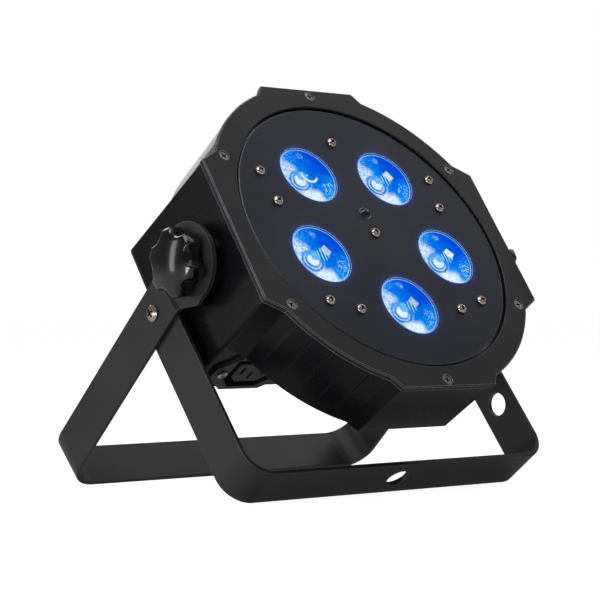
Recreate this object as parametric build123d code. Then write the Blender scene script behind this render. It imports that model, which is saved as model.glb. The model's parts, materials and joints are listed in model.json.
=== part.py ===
from build123d import *
import os
from math import acos, cos, degrees, radians, sin, sqrt, tan

# Par can light with five lenses, on a double bracket that also stands on a floor.
# Millimetres, +Z up, +X to the right of a person who faces the lenses from behind.
# The origin is on the floor, at the middle of the whole light's box.

# ---- stance -------------------------------------------------------------------------------
tilt = 35.2              # the lenses look up by this angle
lean_back = 45.9         # main bracket's arms, from straight down towards the back
lean_front = 38.0        # leg bracket's arms, from straight down towards the front
pivot_y = -21.32         # puts the origin under the middle of the light

# ---- head, along its own axis from the pivot (plus is towards the lenses) -----------------
bezel_front = 30.9
bezel_thickness = 3.0
plate_thickness = 2.0
plate_recess = 1.0       # the front plate's face sits this far inside the bezel's opening
ring_depth_low = 43.5    # below and beside the rear box, from the bezel's front
ring_depth_high = 54.0   # above the rear box
head_depth = 80.0
wall = 2.5

bezel_radius = 100.4
opening_radius = 86.7
raised_radius = 85.3     # pressed face of the front plate
side_flat = 98.2         # half width over the left and right flats
side_flat_half = 44.2
top_flat = 99.5          # half height over the top and bottom flats
top_flat_half = 33.2
ring_radius = 100.0
ring_draft = 1.4         # how much the ring narrows to its rear edge, on radius
box_half_height = 45.0
box_half_width = 98.0
plate_radius = 90.5
bezel_post_radius = 3.0  # stays inside the drafted wall on every side

# ---- optics -------------------------------------------------------------------------------
lens_count = 5
lens_circle = 47.5
lens_radius = 17.9
lens_first_angle = -90.0
lens_depth = 20.0

# ---- brackets -----------------------------------------------------------------------------
strip_width = 26.2
strip_thickness = 2.5
bend_radius = 16.0
main_half_span = 110.0
main_length = 161.5      # pivot to the outside of the base
leg_half_span = 107.2
hinge_distance = 37.3    # pivot to the leg hinge, along the main bracket's arm
paddle_half_width = 21.5
paddle_inset = 1.5
clamp_hole_radius = 6.6
edge_round = 0.45

# ---- knobs and pivots ---------------------------------------------------------------------
knob_radius = 18.2
knob_thickness = 11.9
knob_lobes = 6
flute_radius = 8.0
knob_face = 122.4
stud_radius = 3.95
running_gap = 0.05

# ---- derived ------------------------------------------------------------------------------
z_front = bezel_front
z_plate = bezel_front - bezel_thickness
plate_face = bezel_front - plate_recess
plate_back = plate_face - plate_thickness
z_low = bezel_front - ring_depth_low
z_high = bezel_front - ring_depth_high
z_rear = bezel_front - head_depth
cover_thickness = 2.5
z_cover = z_rear + cover_thickness

main_down = (0, sin(radians(lean_back)), -cos(radians(lean_back)))
leg_down = (0, -sin(radians(lean_front)), -cos(radians(lean_front)))
half_strip = strip_width / 2


def strip_rise(lean):
    """Height of a leaning base's outer face above the floor its rounded lower edge rests on."""
    slope, level = sin(radians(lean)), cos(radians(lean))
    return half_strip * slope - edge_round * (slope + level - 1)


# Both bases rest on the floor by their lower edges.
pivot_height = main_length * cos(radians(lean_back)) + strip_rise(lean_back)
hinge_y = pivot_y + hinge_distance * main_down[1]
hinge_z = pivot_height + hinge_distance * main_down[2]
leg_length = (hinge_z - strip_rise(lean_front)) / cos(radians(lean_front))
paddle_out = main_half_span - paddle_inset
paddle_in = paddle_out - strip_thickness

head_frame = Plane(
    origin=(0, pivot_y, pivot_height),
    x_dir=(1, 0, 0),
    z_dir=(0, -cos(radians(tilt)), sin(radians(tilt))),
).location
main_frame = Plane(
    origin=(0, pivot_y, pivot_height),
    x_dir=(1, 0, 0),
    z_dir=(0, -main_down[1], -main_down[2]),
).location
leg_frame = Plane(
    origin=(0, hinge_y, hinge_z),
    x_dir=(1, 0, 0),
    z_dir=(0, -leg_down[1], -leg_down[2]),
).location

nodes = {}


def keep(name, frame, shape):
    """Places a finished sub-part and notes it for writing."""
    nodes[name] = frame * shape


def group(shapes):
    """Separate solids that share one node."""
    return Compound(list(shapes))


def disc(radius, low, high, x=0, y=0):
    """Round bar along z from low to high."""
    bar = Cylinder(radius, high - low, align=(Align.CENTER, Align.CENTER, Align.MIN))
    return Pos(x, y, low) * bar


def tube(outer, inner, low, high, x=0, y=0):
    return disc(outer, low, high, x, y) - disc(inner, low - 1, high + 1, x, y)


def block(width, height, low, high, x=0, y=0):
    """Square bar along z from low to high, centred on x and y."""
    bar = Box(width, height, high - low, align=(Align.CENTER, Align.CENTER, Align.MIN))
    return Pos(x, y, low) * bar


def slab(outline, low, high):
    """A flat outline given thickness along z."""
    return Pos(0, 0, low) * extrude(outline, amount=high - low, dir=(0, 0, 1))


def round_the_ring(count, radius, first=0.0):
    """Centres of equal steps round a circle, with their angles."""
    for index in range(count):
        angle = first + 360.0 * index / count
        yield radius * cos(radians(angle)), radius * sin(radians(angle)), angle


def phillips(size, depth):
    """Cross-shaped recess below z = 0."""
    arm = block(size, size * 0.24, -depth, 1)
    return arm + Rot(0, 0, 90) * arm


def pan_screw(head_radius, head_height, shank_radius, length):
    """Pan-head screw that stands on z = 0, its shank downwards."""
    crown = sqrt(head_radius**2 + (2.2 * head_height) ** 2)
    dome = Pos(0, 0, head_height - crown) * Sphere(crown)
    head = disc(head_radius, 0, head_height) & dome
    head = head + disc(shank_radius, -length, 0)
    return head - Pos(0, 0, head_height) * phillips(head_radius * 1.1, head_height * 0.75)


def flat_screw(head_radius, shank_radius, length):
    """Countersunk screw whose flat head is level with z = 0."""
    drop = head_radius - shank_radius
    cone = Cone(shank_radius, head_radius, drop, align=(Align.CENTER, Align.CENTER, Align.MAX))
    screw = cone + disc(shank_radius, -length, -drop)
    return screw - phillips(head_radius * 1.15, 1.3)


# ---- outlines of the head ----------------------------------------------------------------
def eared_bar(width, flat_half, slope, radius):
    """Bar across the circle; each end is a flat whose slopes run down to the circle."""
    foot = sqrt(radius**2 - (flat_half + slope) ** 2)
    corners = [
        (width, -flat_half),
        (width, flat_half),
        (foot, flat_half + slope),
        (-foot, flat_half + slope),
        (-width, flat_half),
        (-width, -flat_half),
        (-foot, -flat_half - slope),
        (foot, -flat_half - slope),
    ]
    return Polygon(*corners, align=None)


def head_outline(radius, side, side_half, top, top_half, soften):
    """Circle with four flat-edged ears, as a sketch face."""
    across = eared_bar(side, side_half, 6.6, radius)
    upright = Rot(0, 0, 90) * eared_bar(top, top_half, 4.6, radius)
    outline = (Circle(radius) + across + upright) & Rectangle(2 * side, 2 * top)
    reach = radius + 1.5
    corners = [v for v in outline.vertices() if Vector(v.X, v.Y, 0).length > reach]
    return fillet(corners, soften)


def ring_outline(shrink=0.0, soften=2.0):
    """The housing ring's outline, a given distance inside its front edge."""
    return head_outline(
        ring_radius - shrink,
        box_half_width - shrink,
        side_flat_half - 0.4,
        98.6 - shrink,
        top_flat_half - 0.6 - shrink * 0.4,
        soften,
    )


def box_outline(inset=0.0, soften=3.0):
    return RectangleRounded(2 * (box_half_width - inset), 2 * (box_half_height - inset), soften)


# ---- places of the fasteners --------------------------------------------------------------
bezel_screw_spots = [spot[:2] for spot in round_the_ring(6, 95.0, 90.0)]
inner_plate_spots = [spot[:2] for spot in round_the_ring(5, 62.0, 18.0)]
outer_plate_spots = [(-61.7, 39.0), (61.7, 39.0), (-55.0, -44.6), (55.0, -44.6)]
plate_screw_spots = inner_plate_spots + outer_plate_spots + [(0.0, 0.0)]
lens_spots = list(round_the_ring(lens_count, lens_circle, lens_first_angle))
sensor_spot = (0.0, 13.5)
cover_screw_spots = [(-91.0, -38.5), (91.0, -38.5), (-91.0, 38.5), (0.0, 38.5), (91.0, 38.5)]


# ---- connector places on the underside of the rear box ------------------------------------
connector_depth = z_front - 64.0
outlet_x = -65.5
inlet_x = -12.0
dmx_out_x = 34.0
dmx_in_x = 68.0
dmx_depth = connector_depth + 1.6
mains_screw_pitch = 40.0


def under_frame(x, depth):
    """Local frame on the underside: z points out of the wall and y towards the lenses."""
    return Plane(
        origin=(x, -box_half_height, depth),
        x_dir=(1, 0, 0),
        z_dir=(0, -1, 0),
    ).location


def mains_outline(width, height, cut):
    """Rectangle with its two rear corners cut off, the shape of a mains connector."""
    return Polygon(
        (-width / 2, height / 2),
        (-width / 2, -height / 2 + cut),
        (-width / 2 + cut, -height / 2),
        (width / 2 - cut, -height / 2),
        (width / 2, -height / 2 + cut),
        (width / 2, height / 2),
        align=None,
    )


def mains_flange():
    """Six-sided flange with a screw tab on each side."""
    half = mains_screw_pitch / 2
    outline = Polygon(
        (-half - 6.0, 4.0),
        (-half - 6.0, -4.0),
        (-13.2, -14.6),
        (13.2, -14.6),
        (half + 6.0, -4.0),
        (half + 6.0, 4.0),
        (13.2, 14.6),
        (-13.2, 14.6),
        align=None,
    )
    plate = slab(fillet(outline.vertices(), 1.5), 0, 2.0)
    for side in (-1, 1):
        plate = plate - disc(1.6, -1, 3, side * half, 0)
    return plate


# ---- housing ------------------------------------------------------------------------------
def ring_body(shrink, low, high):
    """Ring that narrows evenly towards the back, between two depths."""
    def at(depth):
        lost = ring_draft * (z_plate - depth) / (z_plate - z_high)
        return Pos(0, 0, depth) * ring_outline(shrink + lost)
    return loft([at(high), at(low)], ruled=True)


def side_grooves():
    """Fine grooves along the ring's four round stretches."""
    cutters = []
    for quarter in range(4):
        for step in range(6):
            angle = (28.5 + step * 6.6) if quarter % 2 == 0 else (61.5 - step * 6.6)
            turn = Rot(0, 0, angle + 90 * quarter)
            length = z_plate - 1.5 - z_high + 4
            groove = Box(1.6, 0.9, length, align=(Align.CENTER, Align.CENTER, Align.MAX))
            cutters.append(turn * Pos(ring_radius - 0.2, 0, z_plate - 1.5) * groove)
    return cutters


def housing_parts():
    """The ring with its upper back, and the rear box behind it."""
    shell = ring_body(0, z_high, z_plate) - block(300, 200, -80, z_low, 0, -80)
    shell = shell + slab(box_outline(), z_cover, z_plate)
    for cutter in side_grooves():
        shell = shell - cutter
    hollow = ring_body(wall, z_high + wall, z_plate - 3.0)
    hollow = hollow - block(300, 200, -80, z_low + wall, 0, -80)
    hollow = hollow + slab(box_outline(wall, 1.5), z_cover - 1, z_plate - 3.0)
    shell = shell - hollow - disc(plate_radius + 0.3, z_plate - 4, z_plate + 1)
    for x, y in bezel_screw_spots:
        shell = shell + disc(bezel_post_radius, z_plate - 13, z_plate - 3, x, y)
    for x, y in cover_screw_spots:
        post = block(9.6, 9.6, z_cover, z_cover + 12, x, y)
        shell = shell + (post & slab(box_outline(0.5), z_cover, z_plate))
    for side in (-1, 1):
        turn = Rot(0, side * 90, 0)
        boss = disc(16.0, box_half_width - 0.5, paddle_in - 2.0)
        inner = disc(9.5, box_half_width - 13.0, box_half_width - 1)
        shell = shell + turn * (boss + inner)
        shell = shell - turn * disc(6.0, box_half_width - 14, paddle_in)
    for x, y in bezel_screw_spots:
        shell = shell - disc(1.45, z_plate - 12, z_plate + 1, x, y)
    for x, y in cover_screw_spots:
        shell = shell - disc(1.45, z_cover - 1, z_cover + 10, x, y)
    for x, width, height in ((outlet_x, 34.6, 26.6), (inlet_x, 28.6, 21.0)):
        window = slab(mains_outline(width + 0.2, height + 0.2, 6.0), -wall - 2, 1)
        holes = [disc(1.45, -wall - 2, 1, side * mains_screw_pitch / 2, 0) for side in (-1, 1)]
        shell = shell - under_frame(x, connector_depth) * (window + holes[0] + holes[1])
    for x in (dmx_out_x, dmx_in_x):
        window = disc(11.9, -wall - 2, 1)
        for side in (-1, 1):
            window = window + disc(1.45, -wall - 2, 1, side * 9.5, side * 11.0)
        shell = shell - under_frame(x, dmx_depth) * window
    behind = block(2 * box_half_width, 2 * box_half_height, z_cover - 1, z_low)
    return shell - behind, shell & behind


def front_bezel():
    outline = head_outline(bezel_radius, side_flat, side_flat_half, top_flat, top_flat_half, 1.6)
    body = slab(outline, z_plate, z_front)
    rim = body.faces().sort_by(Axis.Z)[-1].outer_wire().edges()
    body = chamfer(rim, 0.6)
    body = body - disc(opening_radius, z_plate - 1, z_front + 1)
    lip = body.faces().sort_by(Axis.Z)[-1].inner_wires()[0].edges()
    body = fillet(lip, 0.5)
    for x, y in bezel_screw_spots:
        sink = Cone(1.5, 3.05, 1.6, align=(Align.CENTER, Align.CENTER, Align.MAX))
        pocket = disc(3.05, z_front - 0.4, z_front + 1, x, y)
        body = body - Pos(x, y, z_front - 0.4) * sink - pocket
        body = body - disc(1.5, z_plate - 1, z_front, x, y)
    return body


def front_plate():
    """Pressed disc: a rim clamped behind the bezel and a face raised into its opening."""
    low = z_plate - plate_thickness
    raised = disc(raised_radius, low, plate_face)
    raised = fillet(raised.faces().sort_by(Axis.Z)[-1].edges(), 0.6)
    body = disc(plate_radius, low, z_plate) + raised - disc(raised_radius - 2.2, low - 1, plate_back)
    for x, y, _ in lens_spots:
        body = body - disc(lens_radius + 0.15, low, plate_face + 1, x, y)
    for x, y in plate_screw_spots:
        body = body - disc(1.5, low, plate_face + 1, x, y)
    return body - disc(3.3, low, plate_face + 1, *sensor_spot)


def rear_cover():
    body = slab(box_outline(), z_rear, z_cover)
    rim = body.faces().sort_by(Axis.Z)[0].outer_wire().edges()
    body = fillet(rim, 1.8)
    for column in range(8):
        x = -80.0 + column * 7.5
        for y in (-18.0, 18.0):
            body = body - slab(Pos(x, y) * SlotOverall(24.0, 3.0, rotation=90), z_rear - 1, z_cover + 1)
    body = body - block(38.2, 16.2, z_rear - 1, z_cover + 1, display_x, display_y)
    for x in button_places:
        body = body - disc(3.8, z_rear - 1, z_cover + 1, x, button_y)
    for x, y in cover_screw_spots:
        body = body - disc(1.5, z_rear - 1, z_cover + 1, x, y)
    return body


# ---- control panel ------------------------------------------------------------------------
display_x = 40.0
display_y = 22.0
button_y = 2.0
button_places = [display_x + (index - 1.5) * 13.0 for index in range(4)]
button_travel = 0.8
board_z = z_cover + 5.2


def menu_button(x):
    """Round cap with a wider foot that keeps it behind the cover."""
    cap = disc(3.6, z_rear - 0.9, z_cover + 0.1, x, button_y)
    tip = cap.faces().sort_by(Axis.Z)[0].outer_wire().edges()
    cap = fillet(tip, 0.6)
    return cap + disc(4.6, z_cover + 0.1, z_cover + 1.1, x, button_y)


def display_window():
    face = block(38.0, 16.0, z_rear + 0.2, z_cover, display_x, display_y)
    return face + block(42.0, 20.0, z_cover, z_cover + 0.8, display_x, display_y)


def control_board():
    board = block(66.0, 44.0, board_z, board_z + 1.6, display_x, 14.0)
    module = block(36.0, 14.0, z_cover + 0.8, board_z, display_x, display_y)
    board = board + module
    for x in button_places:
        board = board + block(6.0, 6.0, z_cover + 2.5, board_z, x, button_y)
    chip = block(12.0, 12.0, board_z + 1.6, board_z + 3.0, display_x - 18, 22.0)
    plug = block(14.0, 6.0, board_z + 1.6, board_z + 8.0, display_x + 14, 26.0)
    return board + chip + plug


def power_board():
    low = -25.0
    board = block(92.0, 48.0, low, low + 1.6, -46.0, 14.0)
    transformer = block(24.0, 20.0, low - 15.0, low, -40.0, 20.0)
    choke = block(14.0, 12.0, low - 11.0, low, -72.0, 26.0)
    sink = block(3.0, 26.0, low - 14.0, low, -16.0, 12.0)
    board = board + transformer + choke + sink
    for x, y, radius, height in ((-80.0, 8.0, 6.0, 15.0), (-64.0, 8.0, 4.0, 11.0), (-8.0, 28.0, 4.0, 12.0)):
        board = board + disc(radius, low - height, low, x, y)
    return board


# ---- optics -------------------------------------------------------------------------------
led_board_top = 4.6


def lens(x, y):
    """Collimator: a solid cone under a slightly crowned round face, with a cup for the emitter."""
    top = plate_face - 0.2
    foot = led_board_top + 1.2
    flange = plate_back - 1.6
    cone = Cone(5.6, 15.6, flange - foot, align=(Align.CENTER, Align.CENTER, Align.MIN))
    body = Pos(0, 0, foot) * cone
    body = body + disc(19.2, flange, flange + 1.55) + disc(lens_radius, flange + 1.0, top + 1)
    body = body & (Pos(0, 0, top - 160) * Sphere(160))
    cup = Cone(3.6, 3.2, 4.5, align=(Align.CENTER, Align.CENTER, Align.MIN))
    return Pos(x, y, 0) * (body - Pos(0, 0, foot) * cup)


def lens_holder(x, y):
    """Open cup on three legs that carries the lens over its emitter."""
    high = plate_back - 1.65
    cup = tube(19.2, 17.0, high - 6.0, high, x, y)
    base = tube(12.0, 6.2, led_board_top, led_board_top + 1.6, x, y)
    holder = cup + base
    for step in range(3):
        angle = 90 + step * 120
        leg = Box(7.4, 3.0, high - led_board_top, align=(Align.MIN, Align.CENTER, Align.MIN))
        holder = holder + Pos(x, y, led_board_top) * Rot(0, 0, angle) * Pos(11.2, 0, 0) * leg
    cone_low = led_board_top + 1.2
    reach = plate_back - 1.6 - cone_low
    clear = Cone(6.0, 16.0, reach, align=(Align.CENTER, Align.CENTER, Align.MIN))
    return holder - Pos(x, y, cone_low) * clear


def led_emitter(x, y):
    body = block(4.8, 4.8, led_board_top, led_board_top + 0.9, x, y)
    dome = Sphere(1.9) & disc(2.5, 0, 3)
    return body + Pos(x, y, led_board_top + 0.9) * dome


def led_board():
    """Round board, with the sensor's small board on a post of its own."""
    board = disc(72.0, 3.0, led_board_top)
    for x, y in plate_screw_spots:
        board = board - disc(3.2, 2, 6, x, y)
    x, y = sensor_spot
    board = board + block(4.0, 3.0, led_board_top - 0.5, plate_face - 8.6, x + 3.0, y + 3.5)
    return board + block(14.0, 9.0, plate_face - 8.6, plate_face - 7.0, x, y + 1.5)


def heatsink():
    sink = disc(84.0, 0, 3.0)
    for column in range(14):
        sink = sink + block(1.6, 78.0, -17.0, 0.5, -52.0 + column * 8.0, 0)
    for x, y in plate_screw_spots:
        sink = sink - disc(1.5, -1, 4, x, y)
    return sink


def plate_standoffs():
    """Round spacers between the heat sink and the front plate."""
    posts = []
    for x, y in plate_screw_spots:
        posts.append(tube(3.0, 1.5, 3.0, plate_back, x, y))
    return group(posts)


def plate_screws():
    screw = pan_screw(3.0, 2.1, 1.45, 29.0)
    spots = enumerate(plate_screw_spots)
    return group([Pos(x, y, plate_face) * Rot(0, 0, 17 * i) * screw for i, (x, y) in spots])


def bezel_screws():
    screw = flat_screw(3.0, 1.4, 12.0)
    level = z_front - 0.45
    return group([Pos(x, y, level) * Rot(0, 0, 23 * i) * screw for i, (x, y) in enumerate(bezel_screw_spots)])


def rear_cover_screws():
    screw = Rot(180, 0, 0) * pan_screw(2.9, 1.9, 1.4, 10.0)
    return group([Pos(x, y, z_rear) * screw for x, y in cover_screw_spots])


def sensor_window():
    """Domed infra-red receiver that shows through the front plate."""
    x, y = sensor_spot
    stem = disc(3.2, plate_face - 7.0, plate_face + 0.3, x, y)
    dome = Pos(x, y, plate_face - 1.6) * (Sphere(3.7) & disc(3.2, 0, 4))
    return stem + dome


# ---- connectors ---------------------------------------------------------------------------
def power_outlet():
    """Mains outlet: a nose with three slots, standing in a deep recess."""
    shell = mains_flange() + slab(mains_outline(34.4, 26.4, 6.0), -18.0, 0.5)
    recess = slab(mains_outline(31.6, 24.0, 6.6), -13.0, 3)
    nose = slab(mains_outline(23.2, 15.6, 4.6), -13.5, 1.6)
    shell = shell - recess + nose
    for x, y in ((-7.0, 1.8), (7.0, 1.8), (0.0, -2.4)):
        shell = shell - block(2.0, 6.0, -12.0, 3, x, y)
    return shell


def power_inlet():
    """Mains inlet: an open recess round three blades."""
    shell = mains_flange() + slab(mains_outline(28.4, 20.8, 6.0), -19.0, 0.5)
    return shell - slab(mains_outline(24.8, 17.2, 5.0), -16.0, 3)


def inlet_blades():
    return group([block(2.0, 4.0, -16.0, -1.5, x, y) for x, y in ((-7.0, 1.5), (7.0, 1.5), (0.0, -2.5))])


def dmx_flange():
    plate = slab(RectangleRounded(25.0, 28.5, 2.0), 0, 1.8)
    for side in (-1, 1):
        plate = plate - disc(1.6, -1, 3, side * 9.5, side * 11.0)
    return plate


def dmx_outlet():
    """Three-hole signal outlet with its insert level with the flange, and a gap for the latch."""
    shell = dmx_flange() + disc(11.8, -20.0, 0.5)
    shell = shell - tube(9.6, 7.4, -14.0, 3)
    shell = shell - block(6.2, 4.4, -12.0, 3, 0, 9.6)
    for x, y in ((-3.5, 1.0), (3.5, 1.0), (0.0, -3.0)):
        shell = shell - disc(1.3, -12.0, 3, x, y)
    return shell


def dmx_latch():
    """Push tab that lets the plug go."""
    return block(5.8, 1.4, -10.0, 3.4, 0, 10.1)


def dmx_inlet():
    """Signal inlet: a round recess round three pins."""
    shell = dmx_flange() + disc(11.8, -20.0, 0.5)
    return shell - disc(9.6, -15.0, 3)


def dmx_pins():
    return group([disc(1.2, -15.0, -2.0, x, y) for x, y in ((-3.5, 1.0), (3.5, 1.0), (0.0, -3.0))])


def connector_screws():
    screws = []
    small = pan_screw(2.7, 1.7, 1.4, 8.0)
    for x in (outlet_x, inlet_x):
        for side in (-1, 1):
            spot = Pos(side * mains_screw_pitch / 2, 0, 2.0)
            screws.append(under_frame(x, connector_depth) * spot * small)
    for x in (dmx_out_x, dmx_in_x):
        for side in (-1, 1):
            spot = Pos(side * 9.5, side * 11.0, 1.8)
            screws.append(under_frame(x, dmx_depth) * spot * small)
    return group(screws)


# ---- brackets -----------------------------------------------------------------------------
def u_strip(half_span, length, top):
    """Flat strip bent into a U, its base at z = -length and its arms up to top."""
    def u_shape(inset):
        tall = length - inset + top
        corners = Pos(0, top - tall / 2) * Rectangle(2 * (half_span - inset), tall)
        low = corners.vertices().sort_by(Axis.Y)[:2]
        return fillet(low, bend_radius - inset)
    shape = u_shape(0) - Pos(0, 5) * u_shape(strip_thickness) - u_shape(strip_thickness)
    solid = extrude(Plane.XZ * shape, amount=half_strip, both=True)
    return solid


def soften_strip(solid, span):
    """Takes the sharpness off the strip's long edges."""
    long_edges = [e for e in solid.edges() if e.length > span]
    return fillet(long_edges, edge_round)


def main_bracket():
    top = -(hinge_distance - 14.8)
    solid = u_strip(main_half_span, main_length, top)
    solid = soften_strip(solid, 20.0)
    for side in (-1, 1):
        paddle = Polygon(
            (-paddle_half_width, 0),
            (-paddle_half_width, -9.0),
            (-half_strip, top + 2.4),
            (half_strip, top + 2.4),
            (paddle_half_width, -9.0),
            (paddle_half_width, 0),
            align=None,
        )
        paddle = paddle + Circle(paddle_half_width)
        paddle = Plane.YZ * paddle
        plate = extrude(paddle, amount=strip_thickness, dir=(1, 0, 0))
        plate = Pos(paddle_in, 0, 0) * plate
        step = Polyline(
            (paddle_in, top + 2.6),
            (paddle_out, top + 2.6),
            (main_half_span, top),
            (main_half_span - strip_thickness, top),
            (paddle_in, top + 2.6),
        )
        joggle = extrude(make_face(Plane.XZ * step), amount=half_strip, both=True)
        arm = plate + joggle
        arm = arm if side > 0 else Rot(0, 0, 180) * arm
        solid = solid + arm
        bore = Rot(0, 90, 0) * disc(stud_radius + running_gap, -130, 130)
        pin = Pos(0, 0, -hinge_distance) * Rot(0, 90, 0) * disc(2.5, -130, 130)
    solid = solid - bore - pin
    return solid - disc(clamp_hole_radius, -main_length - 5, -main_length + 8)


def leg_bracket():
    solid = u_strip(leg_half_span, leg_length, half_strip)
    solid = soften_strip(solid, 20.0)
    rounder = Rot(0, 90, 0) * disc(half_strip, -130, 130)
    keeper = block(300, 80, -leg_length - 5, 0)
    solid = solid & (rounder + keeper)
    solid = solid - Rot(0, 90, 0) * disc(2.5 + running_gap, -130, 130)
    solid = solid - disc(clamp_hole_radius, -leg_length - 5, -leg_length + 8)
    arm_hole = Rot(0, 90, 0) * disc(clamp_hole_radius, 60, 130)
    return solid - Pos(0, 0, -67.0) * arm_hole


def hinge_parts(side):
    """Screw, washer and nut of the leg hinge on one side."""
    turn = Rot(0, side * 90, 0)
    screw = turn * Pos(0, 0, main_half_span) * pan_screw(4.4, 2.6, 2.5, 11.2)
    washer = turn * tube(6.0, 2.5, leg_half_span + 0.05, main_half_span - strip_thickness)
    back = leg_half_span - strip_thickness - 0.1
    nut = slab(RegularPolygon(4.6, 6), back - 4.2, back) - disc(2.5, back - 6, back + 1)
    return screw, washer, turn * nut


def clamp_knob(side):
    """Scalloped hand knob, crowned on its face."""
    outline = Circle(knob_radius)
    for x, y, _ in round_the_ring(knob_lobes, knob_radius + 4.2, 37.2):
        outline = outline - Pos(x, y) * Circle(flute_radius)
    outline = fillet(outline.vertices(), 2.4)
    low = knob_face - knob_thickness
    body = slab(outline, low, knob_face)
    rim = body.faces().sort_by(Axis.Z)[-1].outer_wire().edges()
    body = fillet(rim, 2.2)
    body = body & Pos(0, 0, knob_face - 150 + 0.35) * Sphere(150)
    body = body - disc(stud_radius, low - 1, low + 8)
    return Rot(0, side * 90, 0) * body


def knob_parts(side):
    turn = Rot(0, side * 90, 0)
    low = knob_face - knob_thickness
    stud = turn * disc(stud_radius, box_half_width - 10, low + 8)
    washer = turn * tube(13.0, stud_radius + running_gap, paddle_out + 0.05, low - 0.05)
    insert = tube(6.0, stud_radius + running_gap, box_half_width - 12, paddle_in - 2.0)
    pad = turn * tube(16.0, stud_radius + 1.5, paddle_in - 2.0, paddle_in - 0.1)
    return stud, washer, turn * insert, pad


# ---- assembly -----------------------------------------------------------------------------
ring_part, rear_part = housing_parts()
keep("main_housing", head_frame, ring_part)
keep("rear_housing", head_frame, rear_part)
keep("front_bezel", head_frame, front_bezel())
keep("front_plate", head_frame, front_plate())
keep("rear_cover", head_frame, rear_cover())
keep("bezel_screws", head_frame, bezel_screws())
keep("plate_screws", head_frame, plate_screws())
keep("rear_cover_screws", head_frame, rear_cover_screws())
keep("plate_standoffs", head_frame, plate_standoffs())
keep("sensor_window", head_frame, sensor_window())
keep("led_board", head_frame, led_board())
keep("heatsink", head_frame, heatsink())
keep("power_board", head_frame, power_board())
keep("control_board", head_frame, control_board())
keep("display_window", head_frame, display_window())
for number, x in enumerate(button_places, 1):
    keep(f"menu_button_{number}", head_frame, menu_button(x))
for number, (x, y, _) in enumerate(lens_spots, 1):
    keep(f"lens_{number}", head_frame, lens(x, y))
    keep(f"lens_holder_{number}", head_frame, lens_holder(x, y))
    keep(f"led_emitter_{number}", head_frame, led_emitter(x, y))

outlet_frame = head_frame * under_frame(outlet_x, connector_depth)
inlet_frame = head_frame * under_frame(inlet_x, connector_depth)
dmx_out_frame = head_frame * under_frame(dmx_out_x, dmx_depth)
dmx_in_frame = head_frame * under_frame(dmx_in_x, dmx_depth)
keep("power_outlet", outlet_frame, power_outlet())
keep("power_inlet", inlet_frame, power_inlet())
keep("inlet_blades", inlet_frame, inlet_blades())
keep("dmx_outlet", dmx_out_frame, dmx_outlet())
keep("dmx_latch", dmx_out_frame, dmx_latch())
keep("dmx_inlet", dmx_in_frame, dmx_inlet())
keep("dmx_pins", dmx_in_frame, dmx_pins())
keep("connector_screws", head_frame, connector_screws())

keep("main_bracket", main_frame, main_bracket())
keep("leg_bracket", leg_frame, leg_bracket())
for label, side in (("left", -1), ("right", 1)):
    hinge_screw, hinge_washer, hinge_nut = hinge_parts(side)
    keep(f"{label}_hinge_screw", leg_frame, hinge_screw)
    keep(f"{label}_hinge_washer", leg_frame, hinge_washer)
    keep(f"{label}_hinge_nut", leg_frame, hinge_nut)
    stud, knob_washer, insert, pad = knob_parts(side)
    keep(f"{label}_knob", head_frame, clamp_knob(side))
    keep(f"{label}_knob_stud", head_frame, stud)
    keep(f"{label}_knob_washer", head_frame, knob_washer)
    keep(f"{label}_threaded_insert", head_frame, insert)
    keep(f"{label}_friction_pad", head_frame, pad)

os.makedirs("parts", exist_ok=True)
for name, shape in nodes.items():
    export_step(shape, f"parts/{name}.step")
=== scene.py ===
"""Looks of the par can light: studio, camera, materials and the pieces that CAD leaves plain."""
import json
import math

import bmesh
import bpy
from mathutils import Matrix, Vector


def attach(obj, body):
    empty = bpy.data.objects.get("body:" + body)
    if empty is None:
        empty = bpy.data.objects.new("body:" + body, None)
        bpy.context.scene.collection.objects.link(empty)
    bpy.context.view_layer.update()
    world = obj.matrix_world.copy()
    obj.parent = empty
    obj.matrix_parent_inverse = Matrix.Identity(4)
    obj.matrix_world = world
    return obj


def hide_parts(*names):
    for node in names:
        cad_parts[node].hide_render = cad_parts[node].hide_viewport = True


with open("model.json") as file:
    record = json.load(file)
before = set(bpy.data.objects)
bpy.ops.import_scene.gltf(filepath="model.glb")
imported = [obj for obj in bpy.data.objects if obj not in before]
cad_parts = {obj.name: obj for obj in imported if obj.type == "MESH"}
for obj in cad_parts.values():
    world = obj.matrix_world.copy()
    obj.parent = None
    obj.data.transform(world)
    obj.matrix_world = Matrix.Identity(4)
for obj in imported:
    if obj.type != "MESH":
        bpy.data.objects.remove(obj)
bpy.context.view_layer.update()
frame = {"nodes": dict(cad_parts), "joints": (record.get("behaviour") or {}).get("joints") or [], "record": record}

# ---- driving values (metres) --------------------------------------------------------------
LENS_COUNT = 5
LENS_CIRCLE = 0.0475
LENS_RADIUS = 0.0179
LENS_FIRST = math.radians(-90)
HALO_CLOSE = 0.0042      # how far past a lens's rim its blue spill reaches, strong and faint
HALO_WIDE = 0.040
CHIP_GLOW = (0.55, 1.0, 0.85, 0.0, 0.60)   # how plainly a lens shows the emitter; 0 shows its cup's arc
KNOB_RADIUS = 0.0182
KNOB_LOBES = 6
KNOB_FLUTE = 0.008
KNOB_FLUTE_AT = 0.0224
KNOB_FIRST = math.radians(37.2)
KNOB_CROWN = 0.0030
KNOB_LIP = 0.0018
KNOB_EASE = 0.0022
KNOB_BACK_EDGE = (0.0007, 0.0010)   # chamfer at the back, inwards and along the axis
EYE_FROM_PIVOT = Vector((-0.7167, -0.8021, -0.0222))
LOOK_AZIMUTH = math.radians(-40.56)
LOOK_RISE = math.radians(0.16)
FOCAL_MM = 117.8
SHIFT = (-0.0048, 0.0014)
BOUNCE = 0.12           # how brightly the floor lights the object from below
AMBIENT = 0.10
STAGE_HALF = 14.0
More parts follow.
